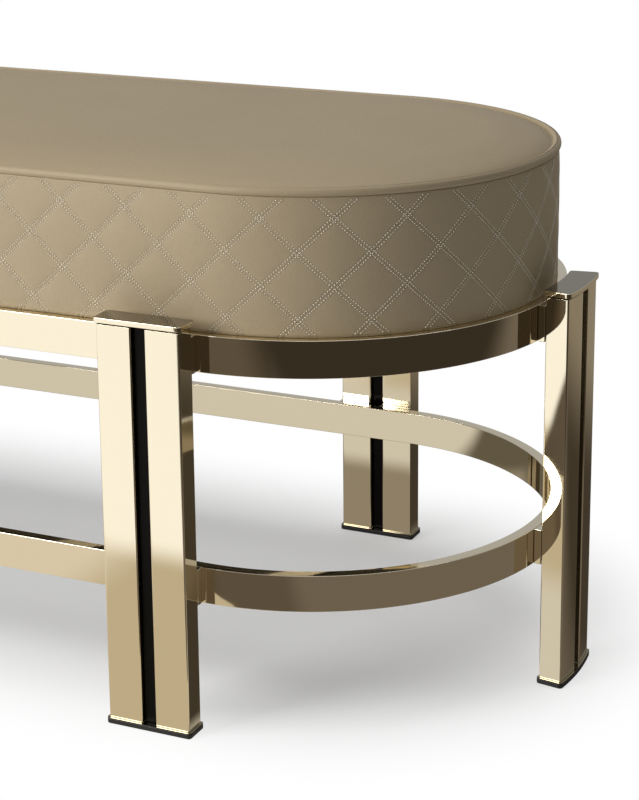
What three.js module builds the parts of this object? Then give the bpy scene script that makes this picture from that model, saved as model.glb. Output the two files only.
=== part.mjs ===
// Upholstered luggage bench with round ends: a leather seat on two polished metal rings and six twin-tube legs.
// Millimetres, +Z up. X runs along the bench, -Y is its front, and the origin is on the floor under its middle.
import * as THREE from "three";

// Clearance left between pieces that meet
const FIT = 0.3;

// The plan: two straight sides joined by two half circles
const SPAN = 718; // between the centres of the two round ends
const ARC_STEPS = 24; // facets in each half circle

// Rings, bent from flat bar
const RING_RADIUS = 212; // outer face, at the round ends
const RING_THICKNESS = 10;
const RING_HEIGHT = 30;
const LOWER_RING_Z = 105; // underside
const UPPER_RING_Z = 295; // underside

// Legs: two rectangular tubes side by side, with a dark strip set back between them
const TUBE_WIDTH = 30;
const TUBE_DEPTH = 20;
const TUBE_WALL = 1.5;
const TUBE_CORNER = 2; // outer corner radius
const GROOVE_WIDTH = 12; // between the two tubes
const STRIP_RECESS = 4; // from the tube faces to the strip
const STRIP_CORNER = 1;
const LEG_RISE = 9; // top of the tubes above the upper ring
const LEG_STANDOFF = 7; // from the ring's outer face to the leg
const LEG_INSET = 2; // from the end of a straight side to the nearest leg
const SPACER_WEB = 2; // bridge between a spacer's two pads

// Cap and foot plates, which close both ends of a leg
const PLATE_OVERHANG = 2;
const PLATE_CORNER = 3;
const PLATE_BEVEL = 0.8;
const CAP_THICKNESS = 4;
const FOOT_THICKNESS = 5;

// Seat rails inside the upper ring, and the screws that hold the seat down
const RAIL_COUNT = 3;
const RAIL_WIDTH = 40;
const RAIL_THICKNESS = 5;
const SCREW_PITCH = 240; // between the two screws of a rail
const SCREW_SHANK = 4; // diameter
const SCREW_HEAD = 9; // diameter
const SCREW_HEAD_HEIGHT = 3;
const SCREW_GRIP = 10; // length inside the board

// Seat
const SEAT_INSET = 7; // from the ring's outer face to the leather
const BOARD_THICKNESS = 12;
const BAND_HEIGHT = 108; // leather side band, from the ring up to the piping
const BAND_THICKNESS = 2;
const COVER_SLACK = 0.8; // between the leather and what it covers
const PIPING_DIAMETER = 7;
const PIPING_SIDES = 8;
const PANEL_THICKNESS = 2;
const CROWN_HEIGHT = 10; // middle of the top panel above its seam
const CROWN_POWER = 4; // how late the crown falls away towards the seam
const CROWN_FLAT = 60; // half width of the level middle

// Diamond quilting of the side band
const DIAMONDS_AROUND = 48;
const QUILT_DEPTH = 1.2; // stitch line below the middle of a diamond
const QUILT_PHASE = -11; // first crossing, along the side from the start of the right end
const QUILT_TOP = 16; // first row of crossings below the top of the band
const QUILT_STEP = 26.5; // from one row of crossings to the next
const QUILT_ROWS = 4;

// Finishes
const finish = (name, color, roughness, metalness) =>
  new THREE.MeshStandardMaterial({ name, color, roughness, metalness });
const METAL = () => finish("polished champagne metal", 0xcbb68c, 0.08, 1);
const DARK_METAL = () => finish("dark lacquered strip", 0x0c0b0a, 0.25, 0.4);
const FOOT = () => finish("dark foot plate", 0x1c1a18, 0.5, 0.2);
const STEEL = () => finish("plain steel", 0x8c8c8a, 0.35, 1);
const LEATHER = () => finish("taupe leather", 0xa39479, 0.5, 0);
const FOAM = () => finish("seat foam", 0xe6dcc0, 0.95, 0);
const PLYWOOD = () => finish("plywood", 0xb48c5a, 0.8, 0);

// Sizes that follow from the ones above
const halfSpan = SPAN / 2;
const ringInner = RING_RADIUS - RING_THICKNESS;
const upperRingTop = UPPER_RING_Z + RING_HEIGHT;
const legWidth = 2 * TUBE_WIDTH + GROOVE_WIDTH;
const tubeInner = LEG_STANDOFF;
const tubeOuter = LEG_STANDOFF + TUBE_DEPTH;
const tubeBottom = FOOT_THICKNESS + FIT;
const tubeTop = upperRingTop + LEG_RISE - FIT;
const seatRadius = RING_RADIUS - SEAT_INSET;
const seatBottom = upperRingTop + FIT;
const boardRadius = seatRadius - QUILT_DEPTH - BAND_THICKNESS - COVER_SLACK;
const boardTop = seatBottom + BOARD_THICKNESS;
const bandTop = seatBottom + BAND_HEIGHT;
const pipingRadius = PIPING_DIAMETER / 2;
const pipingZ = bandTop + FIT + pipingRadius;
const pipingOffset = seatRadius - pipingRadius;
const panelRadius = pipingOffset - pipingRadius - FIT;
const panelSeamZ = pipingZ + pipingRadius;
const railPitch = SPAN / RAIL_COUNT;
const railIndex = [...Array(RAIL_COUNT).keys()];
const railX = railIndex.map((i) => (i - (RAIL_COUNT - 1) / 2) * railPitch);
const screwSpots = railX.flatMap((x) => [-1, 1].map((side) => new THREE.Vector2(x, (side * SCREW_PITCH) / 2)));

const bench = new THREE.Group();

function addMesh(parent, name, geometry, material) {
  const mesh = new THREE.Mesh(geometry, material);
  mesh.name = name;
  parent.add(mesh);
}

// A flat outline pulled up from one height to another, its two edges bevelled if a bevel is given
function prism(outline, bottom, top, { holes = [], bevel = 0 } = {}) {
  const shape = new THREE.Shape(outline);
  shape.holes = holes.map((points) => new THREE.Path(points));
  const geometry = new THREE.ExtrudeGeometry(shape, {
    depth: top - bottom - 2 * bevel,
    bevelEnabled: bevel > 0,
    bevelThickness: bevel,
    bevelSize: bevel,
    bevelOffset: -bevel,
    bevelSegments: 1,
  });
  return geometry.translate(0, 0, bottom + bevel);
}

function circle(centre, diameter, sides) {
  return [...Array(sides).keys()].map((i) => {
    const angle = (2 * Math.PI * i) / sides;
    return new THREE.Vector2(Math.cos(angle), Math.sin(angle)).multiplyScalar(diameter / 2).add(centre);
  });
}

// A column is one place on the way round the plan: the point of the bench's spine it belongs to, and the way out.
function columnAtAngle(side, angle) {
  return { spine: side * halfSpan, out: new THREE.Vector2(Math.cos(angle), Math.sin(angle)) };
}

function columnPoint({ spine, out }, offset) {
  return new THREE.Vector2(spine + offset * out.x, offset * out.y);
}

// Columns round both ends; the straight sides run between them
function endColumns() {
  return [1, -1].flatMap((side) =>
    [...Array(ARC_STEPS + 1).keys()].map((i) => {
      const angle = (side > 0 ? -Math.PI / 2 : Math.PI / 2) + (Math.PI * i) / ARC_STEPS;
      return columnAtAngle(side, angle);
    }),
  );
}

// Columns at equal steps along the leather, two to each diamond
function quiltColumns() {
  const half = Math.PI * seatRadius;
  const around = 2 * (SPAN + half);
  const count = 2 * DIAMONDS_AROUND;
  return [...Array(count).keys()].map((i) => {
    const along = (QUILT_PHASE + (i * around) / count + around) % around;
    if (along < half) return columnAtAngle(1, along / seatRadius - Math.PI / 2);
    if (along < half + SPAN) return { spine: halfSpan - (along - half), out: new THREE.Vector2(0, 1) };
    if (along < 2 * half + SPAN) return columnAtAngle(-1, (along - half - SPAN) / seatRadius + Math.PI / 2);
    return { spine: along - 2 * half - SPAN - halfSpan, out: new THREE.Vector2(0, -1) };
  });
}

const roundColumns = endColumns();
const outlineAt = (offset) => roundColumns.map((column) => columnPoint(column, offset));

// A skin over rows of points that go round the plan. Each row gives an offset and a height for every column.
// A closed section joins its last row to its first; an open one is covered at both ends.
function sweepRound(columns, rows, { closed = false, turnDiagonal = () => false } = {}) {
  const width = columns.length;
  const grid = rows.map((row) =>
    columns.map((column, j) => {
      const [offset, z] = row(j);
      const point = columnPoint(column, offset);
      return new THREE.Vector3(point.x, point.y, z);
    }),
  );
  const index = [];
  const at = (i, j) => (i % rows.length) * width + (j % width);
  for (let i = 0; i < rows.length - (closed ? 0 : 1); i++) {
    for (let j = 0; j < width; j++) {
      const [a, b, c, d] = [at(i, j), at(i, j + 1), at(i + 1, j + 1), at(i + 1, j)];
      index.push(...(turnDiagonal(i, j) ? [a, b, d, b, c, d] : [a, b, c, a, c, d]));
    }
  }
  if (!closed) {
    const last = rows.length - 1;
    const flat = (i) => THREE.ShapeUtils.triangulateShape(grid[i].map(({ x, y }) => new THREE.Vector2(x, y)), []);
    flat(0).forEach(([a, b, c]) => index.push(at(0, c), at(0, b), at(0, a)));
    flat(last).forEach(([a, b, c]) => index.push(at(last, a), at(last, b), at(last, c)));
  }
  return new THREE.BufferGeometry().setFromPoints(grid.flat()).setIndex(index);
}

const levelRow = (offset, z) => () => [offset, z];

// Rings
for (const [name, bottom] of [["lower_ring", LOWER_RING_Z], ["upper_ring", UPPER_RING_Z]]) {
  const bar = prism(outlineAt(RING_RADIUS), bottom, bottom + RING_HEIGHT, { holes: [outlineAt(ringInner)] });
  addMesh(bench, name, bar, METAL());
}

// Leg plans are drawn across the leg (u) and outwards from the ring (v). An end leg's plan bends with the ring.
const EDGE_STEPS = 4; // facets along a bent edge
const CORNER_STEPS = 3; // facets round a corner

function legOutline(points, bent) {
  return points.map(([u, v]) => {
    const out = bent ? Math.sqrt((RING_RADIUS + v) ** 2 - u ** 2) - RING_RADIUS : v;
    return new THREE.Vector2(u, out);
  });
}

// The points between two u values at one v, without the last
function acrossLeg(from, to, v) {
  return [...Array(EDGE_STEPS).keys()].map((i) => [from + ((to - from) * i) / EDGE_STEPS, v]);
}

function roundedPlan(u0, u1, v0, v1, radius) {
  const corner = (cu, cv, start) =>
    [...Array(CORNER_STEPS).keys()].map((i) => {
      const angle = start + (Math.PI / 2) * (i / CORNER_STEPS);
      return [cu + radius * Math.cos(angle), cv + radius * Math.sin(angle)];
    });
  return [
    ...acrossLeg(u0 + radius, u1 - radius, v0),
    ...corner(u1 - radius, v0 + radius, -Math.PI / 2),
    [u1, v0 + radius],
    ...corner(u1 - radius, v1 - radius, 0).slice(radius > 0 ? 0 : CORNER_STEPS),
    ...acrossLeg(u1 - radius, u0 + radius, v1),
    ...corner(u0 + radius, v1 - radius, Math.PI / 2),
    [u0, v1 - radius],
    ...corner(u0 + radius, v0 + radius, Math.PI).slice(radius > 0 ? 0 : CORNER_STEPS),
  ].filter(([u, v], i, all) => {
    const [lastU, lastV] = all[(i + all.length - 1) % all.length];
    return Math.hypot(u - lastU, v - lastV) > FIT / 10;
  });
}

// A spacer's plan: a pad behind each tube, joined by a thin web against the ring
function spacerPlan() {
  const [half, groove] = [legWidth / 2, GROOVE_WIDTH / 2];
  const [inner, outer] = [FIT, LEG_STANDOFF - FIT];
  const web = inner + SPACER_WEB;
  return [
    ...acrossLeg(-half, half, inner),
    [half, inner],
    ...acrossLeg(half, groove, outer),
    [groove, outer],
    [groove, web],
    [-groove, web],
    ...acrossLeg(-groove, -half, outer),
    [-half, outer],
  ];
}

function addLeg(name, position, turn, bent) {
  const leg = new THREE.Group();
  leg.position.copy(position);
  leg.rotation.z = turn;
  bench.add(leg);
  const plan = (points) => legOutline(points, bent);

  for (const [label, side] of [["tube_a", -1], ["tube_b", 1]]) {
    const [near, far] = [(side * GROOVE_WIDTH) / 2, side * (GROOVE_WIDTH / 2 + TUBE_WIDTH)];
    const [u0, u1] = [Math.min(near, far), Math.max(near, far)];
    const outside = roundedPlan(u0, u1, tubeInner, tubeOuter, TUBE_CORNER);
    const bore = roundedPlan(
      u0 + TUBE_WALL,
      u1 - TUBE_WALL,
      tubeInner + TUBE_WALL,
      tubeOuter - TUBE_WALL,
      Math.max(TUBE_CORNER - TUBE_WALL, FIT),
    );
    const tube = prism(plan(outside), tubeBottom, tubeTop, { holes: [plan(bore)] });
    addMesh(leg, `${name}_${label}`, tube, METAL());
  }

  const stripHalf = GROOVE_WIDTH / 2 - FIT;
  const stripPlan = roundedPlan(
    -stripHalf,
    stripHalf,
    tubeInner + STRIP_RECESS,
    tubeOuter - STRIP_RECESS,
    STRIP_CORNER,
  );
  addMesh(leg, `${name}_strip`, prism(plan(stripPlan), tubeBottom, tubeTop), DARK_METAL());

  const platePlan = plan(
    roundedPlan(
      -legWidth / 2 - PLATE_OVERHANG,
      legWidth / 2 + PLATE_OVERHANG,
      tubeInner - PLATE_OVERHANG,
      tubeOuter + PLATE_OVERHANG,
      PLATE_CORNER,
    ),
  );
  const capBottom = tubeTop + FIT;
  const cap = prism(platePlan, capBottom, capBottom + CAP_THICKNESS, { bevel: PLATE_BEVEL });
  addMesh(leg, `${name}_cap`, cap, METAL());
  addMesh(leg, `${name}_foot`, prism(platePlan, 0, FOOT_THICKNESS, { bevel: PLATE_BEVEL }), FOOT());

  for (const [label, bottom] of [["lower_spacer", LOWER_RING_Z], ["upper_spacer", UPPER_RING_Z]]) {
    const spacer = prism(plan(spacerPlan()), bottom, bottom + RING_HEIGHT);
    addMesh(leg, `${name}_${label}`, spacer, METAL());
  }
}

const sideLegX = halfSpan - LEG_INSET - legWidth / 2;
for (const [end, side] of [["left", -1], ["right", 1]]) {
  const front = new THREE.Vector3(side * sideLegX, -RING_RADIUS, 0);
  const back = new THREE.Vector3(side * sideLegX, RING_RADIUS, 0);
  const tip = new THREE.Vector3(side * (halfSpan + RING_RADIUS), 0, 0);
  addLeg(`front_${end}_leg`, front, Math.PI, false);
  addLeg(`back_${end}_leg`, back, 0, false);
  addLeg(`${end}_end_leg`, tip, (-side * Math.PI) / 2, true);
}

// Rails across the upper ring, level with its top, drilled for the seat's screws
const railHalfLength = ringInner - FIT;
const railBottom = upperRingTop - RAIL_THICKNESS;
const HOLE_SIDES = 12;
const screwHole = SCREW_SHANK + 2 * FIT;
railX.forEach((x, i) => {
  const [x0, x1] = [x - RAIL_WIDTH / 2, x + RAIL_WIDTH / 2];
  const outline = [
    new THREE.Vector2(x0, -railHalfLength),
    new THREE.Vector2(x1, -railHalfLength),
    new THREE.Vector2(x1, railHalfLength),
    new THREE.Vector2(x0, railHalfLength),
  ];
  const holes = screwSpots.filter((spot) => spot.x === x).map((spot) => circle(spot, screwHole, HOLE_SIDES));
  addMesh(bench, `seat_rail_${i + 1}`, prism(outline, railBottom, upperRingTop, { holes }), STEEL());
});

const screwTop = seatBottom + SCREW_GRIP;
const headTop = railBottom - FIT;
const screwProfile = [
  [0, headTop - SCREW_HEAD_HEIGHT],
  [SCREW_HEAD / 2 - 1, headTop - SCREW_HEAD_HEIGHT],
  [SCREW_HEAD / 2, headTop - SCREW_HEAD_HEIGHT / 2],
  [SCREW_HEAD / 2, headTop],
  [SCREW_SHANK / 2, headTop],
  [SCREW_SHANK / 2, screwTop - SCREW_SHANK / 2],
  [0, screwTop],
].map(([radius, z]) => new THREE.Vector2(radius, z));
screwSpots.forEach((spot, i) => {
  const screw = new THREE.LatheGeometry(screwProfile, HOLE_SIDES).rotateX(Math.PI / 2);
  addMesh(bench, `seat_screw_${i + 1}`, screw.translate(spot.x, spot.y, 0), STEEL());
});

// Seat board
const boardHoles = screwSpots.map((spot) => circle(spot, screwHole, HOLE_SIDES));
const board = prism(outlineAt(boardRadius), seatBottom, boardTop, { holes: boardHoles });
addMesh(bench, "seat_board", board, PLYWOOD());

// The crown falls from the level middle to the seam at the piping.
const crownDrop = (offset) => {
  const share = Math.max(offset - CROWN_FLAT, 0) / (panelRadius - CROWN_FLAT);
  return CROWN_HEIGHT * share ** CROWN_POWER;
};
const panelTopAt = (offset) => panelSeamZ + CROWN_HEIGHT - crownDrop(offset);
const panelUnderAt = (offset) => panelTopAt(offset) - PANEL_THICKNESS;
const crownOffsets = [0, 0.45, 0.7, 0.88].map((share) => CROWN_FLAT + share * (panelRadius - CROWN_FLAT));

// Foam block, with a step round its upper edge where the piping lies
const rebateRadius = panelRadius - FIT;
const rebateZ = bandTop - FIT;
const foamRows = [
  levelRow(boardRadius, boardTop + FIT),
  levelRow(boardRadius, rebateZ),
  levelRow(rebateRadius, rebateZ),
  levelRow(rebateRadius, panelUnderAt(rebateRadius) - FIT),
  ...crownOffsets.toReversed().map((offset) => levelRow(offset, panelUnderAt(offset) - FIT)),
];
addMesh(bench, "seat_foam", sweepRound(roundColumns, foamRows), FOAM());

// Leather top panel
const panelRows = [
  ...crownOffsets.map((offset) => levelRow(offset, panelUnderAt(offset))),
  levelRow(panelRadius, panelUnderAt(panelRadius)),
  levelRow(panelRadius, panelTopAt(panelRadius)),
  ...crownOffsets.toReversed().map((offset) => levelRow(offset, panelTopAt(offset))),
];
addMesh(bench, "seat_top_panel", sweepRound(roundColumns, panelRows), LEATHER());

// Piping round the seam
const pipingRows = circle(new THREE.Vector2(pipingOffset, pipingZ), PIPING_DIAMETER, PIPING_SIDES).map(
  ({ x, y }) => levelRow(x, y),
);
addMesh(bench, "seat_piping", sweepRound(roundColumns, pipingRows, { closed: true }), LEATHER());

// Leather side band: the stitch lines cross at every other column of a row, and the leather swells between them.
const stitchOffset = seatRadius - QUILT_DEPTH;
const bandInner = stitchOffset - BAND_THICKNESS;
const quiltRow = (row) => (j) => {
  const crosses = (row + j) % 2 === 0;
  return [crosses ? stitchOffset : seatRadius, bandTop - QUILT_TOP - row * QUILT_STEP];
};
const quiltRows = [...Array(QUILT_ROWS).keys()].map(quiltRow).toReversed();
const bandRows = [
  levelRow(stitchOffset, seatBottom),
  ...quiltRows,
  levelRow(stitchOffset, bandTop),
  levelRow(bandInner, bandTop),
  levelRow(bandInner, seatBottom),
];
const followsStitch = (i, j) => (QUILT_ROWS - i + j) % 2 !== 0;
const bandSkin = sweepRound(quiltColumns(), bandRows, { closed: true, turnDiagonal: followsStitch });
addMesh(bench, "seat_side_band", bandSkin, LEATHER());

export default bench;
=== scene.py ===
# %% [markdown]
# # A luggage bench with round ends
# A long leather seat stands on two polished metal rings, and six legs made of twin tubes carry the rings.
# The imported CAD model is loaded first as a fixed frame. Its nodes say where everything is, so each finer
# piece below reads its place from a node's box and is never fitted by eye.

# %% Load the frame
import math

import bmesh
import bpy
import numpy as np
from mathutils import Matrix, Vector


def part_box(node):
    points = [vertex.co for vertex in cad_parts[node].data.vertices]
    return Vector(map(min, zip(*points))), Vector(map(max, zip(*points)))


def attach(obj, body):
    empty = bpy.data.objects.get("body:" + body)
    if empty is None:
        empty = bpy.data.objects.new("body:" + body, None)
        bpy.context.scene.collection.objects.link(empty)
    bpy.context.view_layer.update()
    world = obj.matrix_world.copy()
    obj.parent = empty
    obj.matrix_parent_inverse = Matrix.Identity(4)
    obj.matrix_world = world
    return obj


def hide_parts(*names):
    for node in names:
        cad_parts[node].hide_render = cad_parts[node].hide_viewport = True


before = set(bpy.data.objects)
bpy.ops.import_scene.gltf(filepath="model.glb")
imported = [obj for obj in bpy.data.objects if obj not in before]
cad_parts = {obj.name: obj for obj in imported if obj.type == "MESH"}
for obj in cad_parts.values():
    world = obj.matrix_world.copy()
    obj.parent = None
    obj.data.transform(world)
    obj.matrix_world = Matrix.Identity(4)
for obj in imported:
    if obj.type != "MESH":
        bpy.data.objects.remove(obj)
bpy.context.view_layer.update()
MM = 0.001

# %% [markdown]
# ## The camera
# The photograph was solved for its camera: a long lens, a little above the seat, off the bench's right end.
# The bench's upright edges stay nearly upright in the picture although the camera looks down on the seat, as
# they do when a picture is cropped from a larger one. A level camera with a large lens shift would keep them
# so, but it would lose the bench from other sides, so the camera looks down and takes a small shift.

# %% Camera
PHOTO_WIDTH, PHOTO_HEIGHT = 639, 800
FOCAL_PIXELS = 2162.96
SENSOR = 36.0
CAMERA_PLACE = Vector((1.105915, -1.605635, 0.789376))
YAW, PITCH, ROLL = (math.radians(a) for a in (24.831, -14.971, -0.502))
SHIFT_DOWN = 0.15


def camera_axes(yaw, pitch, roll):
    forward = Vector((-math.sin(yaw) * math.cos(pitch), math.cos(yaw) * math.cos(pitch), math.sin(pitch)))
    level = Vector((math.cos(yaw), math.sin(yaw), 0))
    up = level.cross(forward)
    right = level * math.cos(roll) + up * math.sin(roll)
    return right, right.cross(forward), forward


right, up, forward = camera_axes(YAW, PITCH, ROLL)
lens = bpy.data.cameras.new("photo_camera")
lens.sensor_width = SENSOR
lens.lens = FOCAL_PIXELS * SENSOR / max(PHOTO_WIDTH, PHOTO_HEIGHT)
lens.shift_y = -SHIFT_DOWN
camera = bpy.data.objects.new("photo_camera", lens)
turn = Matrix((right, up, -forward)).transposed().to_4x4()
camera.matrix_world = Matrix.Translation(CAMERA_PLACE) @ turn
bpy.context.scene.collection.objects.link(camera)
bpy.context.scene.camera = camera
print("lens", round(lens.lens, 2), "mm")

# %% [markdown]
# ## Sizes from the frame
# Each finer piece needs a few numbers: the radius of the round ends, the seat's heights, a leg's plan.
# All of them are read from the boxes of the CAD nodes, so the looks follow the frame if its sizes change.

# %% Sizes
ring_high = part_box("upper_ring")[1]
RING_RADIUS = ring_high.y
HALF_SPAN = ring_high.x - RING_RADIUS
band_low, band_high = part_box("seat_side_band")
piping_low, piping_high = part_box("seat_piping")
panel_low, panel_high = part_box("seat_top_panel")
board_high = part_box("seat_board")[1]
SEAT_RADIUS = band_high.y
SEAT_BOTTOM, BAND_TOP = band_low.z, band_high.z
PIPING_RADIUS = (piping_high.z - piping_low.z) / 2
PIPING_Z = (piping_high.z + piping_low.z) / 2
PIPING_OFFSET = piping_high.y - PIPING_RADIUS
SEAM_OFFSET = panel_high.y
HALF_ROUND = math.pi * SEAT_RADIUS
AROUND = 2 * (2 * HALF_SPAN + HALF_ROUND)
print("radius", round(RING_RADIUS, 4), "half span", round(HALF_SPAN, 4), "leather round", round(AROUND, 3))

# %% [markdown]
# The seat, its piping and both rings follow the same plan: two straight sides and two half circles. One
# function turns a length along that plan into a place, and every piece that goes round the bench uses it.


# %% Places on the plan
def spine_and_out(along):
    """Where a length along the leather falls: the spine point it belongs to and the way out, as arrays.
    It starts where the front side meets the right end and runs to the right."""
    s = np.mod(np.asarray(along, float), AROUND)
    span = 2 * HALF_SPAN
    right_angle = s / SEAT_RADIUS - math.pi / 2
    left_angle = (s - HALF_ROUND - span) / SEAT_RADIUS + math.pi / 2
    on_right = s < HALF_ROUND
    on_back = (s >= HALF_ROUND) & (s < HALF_ROUND + span)
    on_left = (s >= HALF_ROUND + span) & (s < 2 * HALF_ROUND + span)
    places = [on_right, on_back, on_left]
    back_spine = HALF_SPAN - (s - HALF_ROUND)
    front_spine = s - 2 * HALF_ROUND - span - HALF_SPAN
    spine = np.select(places, [HALF_SPAN, back_spine, -HALF_SPAN], front_spine)
    out_x = np.select(places, [np.cos(right_angle), 0, np.cos(left_angle)], 0)
    out_y = np.select(places, [np.sin(right_angle), 1, np.sin(left_angle)], -1)
    return spine, out_x, out_y


def on_plan(along, offset, z):
    """Points at an offset from the spine and a height, one for each length along the leather."""
    spine, out_x, out_y = spine_and_out(along)
    return np.stack([spine + offset * out_x, offset * out_y, np.broadcast_to(z, np.shape(spine))], -1)


print("plan starts at", on_plan([0.0], RING_RADIUS, 0.0)[0].round(4).tolist())

# %% [markdown]
# ## Shader groups
# Polished metal, lacquer and smoked metal all show faint wipe marks, and leather shows a fine pebble. Each
# effect could be drawn again in every material, but a node group is built once and placed with its own
# values. A group only puts out values that change over the surface, and the Principled shader stays in each
# material.

# %% Node helpers
FLOAT, VECTOR, COLOR = "NodeSocketFloat", "NodeSocketVector", "NodeSocketColor"
FROM_LOW, FROM_HIGH, TO_LOW, TO_HIGH = 1, 2, 3, 4
FIRST_NUMBER, SECOND_NUMBER, FIRST_TINT, SECOND_TINT = 2, 3, 6, 7


def new_group(name, inputs, outputs):
    group = bpy.data.node_groups.new(name, "ShaderNodeTree")
    for label, kind, value in inputs:
        socket = group.interface.new_socket(label, in_out="INPUT", socket_type=kind)
        if value is not None:
            socket.default_value = value
    for label, kind in outputs:
        group.interface.new_socket(label, in_out="OUTPUT", socket_type=kind)
    return group, group.nodes.new("NodeGroupInput"), group.nodes.new("NodeGroupOutput")


def add_node(tree, kind, values=None, links=None, **settings):
    """A node with its settings, its plain input values, and links from other sockets into it."""
    node = tree.nodes.new(kind)
    for key, value in settings.items():
        setattr(node, key, value)
    for key, value in (values or {}).items():
        node.inputs[key].default_value = value
    for key, socket in (links or {}).items():
        tree.links.new(socket, node.inputs[key])
    return node


def math_node(tree, operation, *terms):
    """A Math node over sockets and numbers."""
    node = tree.nodes.new("ShaderNodeMath")
    node.operation = operation
    for slot, term in enumerate(terms):
        if isinstance(term, (int, float)):
            node.inputs[slot].default_value = term
        else:
            tree.links.new(term, node.inputs[slot])
    return node.outputs[0]


def ramp(tree, value, low, high, to_low, to_high, kind="LINEAR"):
    limits = {FROM_LOW: low, FROM_HIGH: high, TO_LOW: to_low, TO_HIGH: to_high}
    return add_node(tree, "ShaderNodeMapRange", limits, {0: value}, interpolation_type=kind).outputs[0]


def noise(tree, vector, scale, detail, distortion=0.0):
    values = {"Scale": scale, "Detail": detail, "Distortion": distortion}
    return add_node(tree, "ShaderNodeTexNoise", values, {"Vector": vector}).outputs[0]


def stretched(tree, vector, scale):
    return add_node(tree, "ShaderNodeMapping", {"Scale": scale}, {"Vector": vector}).outputs[0]


def tint_mix(tree, share, first, second):
    """Mixes two colours, each a socket or three numbers, by a share."""
    node = add_node(tree, "ShaderNodeMix", links={"Factor": share}, data_type="RGBA")
    for slot, tint in ((FIRST_TINT, first), (SECOND_TINT, second)):
        if isinstance(tint, tuple):
            node.inputs[slot].default_value = (*tint, 1)
        else:
            tree.links.new(tint, node.inputs[slot])
    return node.outputs[2]


# %% Wipe marks group
HAZE_SHARE = 0.75
wipe_marks, marks_in, marks_out = new_group(
    "wipe_marks",
    [("Vector", VECTOR, None), ("Smooth", FLOAT, 0.05), ("Hazed", FLOAT, 0.12)],
    [("Roughness", FLOAT), ("Height", FLOAT)],
)
marks_place = marks_in.outputs["Vector"]
haze = noise(wipe_marks, marks_place, scale=9.0, detail=4.0)
fine = noise(wipe_marks, stretched(wipe_marks, marks_place, (60.0, 60.0, 900.0)), scale=1.0, detail=2.0)
mixed = math_node(wipe_marks, "ADD", math_node(wipe_marks, "MULTIPLY", haze, HAZE_SHARE),
                  math_node(wipe_marks, "MULTIPLY", fine, 1 - HAZE_SHARE))
spread = add_node(wipe_marks, "ShaderNodeMapRange", {FROM_LOW: 0.35, FROM_HIGH: 0.68},
                  {0: mixed, TO_LOW: marks_in.outputs["Smooth"], TO_HIGH: marks_in.outputs["Hazed"]})
wave = noise(wipe_marks, marks_place, scale=14.0, detail=1.0)
wipe_marks.links.new(spread.outputs[0], marks_out.inputs["Roughness"])
wipe_marks.links.new(wave, marks_out.inputs["Height"])
print(wipe_marks.name, len(wipe_marks.nodes), "nodes")

# %% Leather grain group
PORE_DEPTH = 0.35
leather_grain, grain_in, grain_out = new_group(
    "leather_grain",
    [("Vector", VECTOR, None), ("Deep", COLOR, (0.3, 0.24, 0.15, 1)), ("Pale", COLOR, (0.4, 0.33, 0.21, 1)),
     ("Pebble", FLOAT, 900.0)],
    [("Color", COLOR), ("Roughness", FLOAT), ("Height", FLOAT)],
)
grain_place = grain_in.outputs["Vector"]
cells = add_node(leather_grain, "ShaderNodeTexVoronoi", {"Randomness": 1.0},
                 {"Vector": grain_place, "Scale": grain_in.outputs["Pebble"]}, feature="SMOOTH_F1")
pores = noise(leather_grain, grain_place, scale=2600.0, detail=2.0)
cloud = noise(leather_grain, grain_place, scale=7.0, detail=3.0)
pebble = ramp(leather_grain, cells.outputs["Distance"], low=0.1, high=0.75, to_low=1.0, to_high=0.0)
height = math_node(leather_grain, "ADD", pebble, math_node(leather_grain, "MULTIPLY", pores, PORE_DEPTH))
cloud_tone = ramp(leather_grain, cloud, low=0.35, high=0.65, to_low=0.38, to_high=0.62)
pebble_tone = ramp(leather_grain, pebble, low=0.0, high=1.0, to_low=-0.2, to_high=0.12)
tone = math_node(leather_grain, "ADD", cloud_tone, pebble_tone)
pebble_rough = ramp(leather_grain, pebble, low=0.0, high=1.0, to_low=0.56, to_high=0.44)
shade = tint_mix(leather_grain, tone, grain_in.outputs["Deep"], grain_in.outputs["Pale"])
leather_grain.links.new(shade, grain_out.inputs["Color"])
leather_grain.links.new(pebble_rough, grain_out.inputs["Roughness"])
leather_grain.links.new(height, grain_out.inputs["Height"])
print(leather_grain.name, len(leather_grain.nodes), "nodes")
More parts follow.
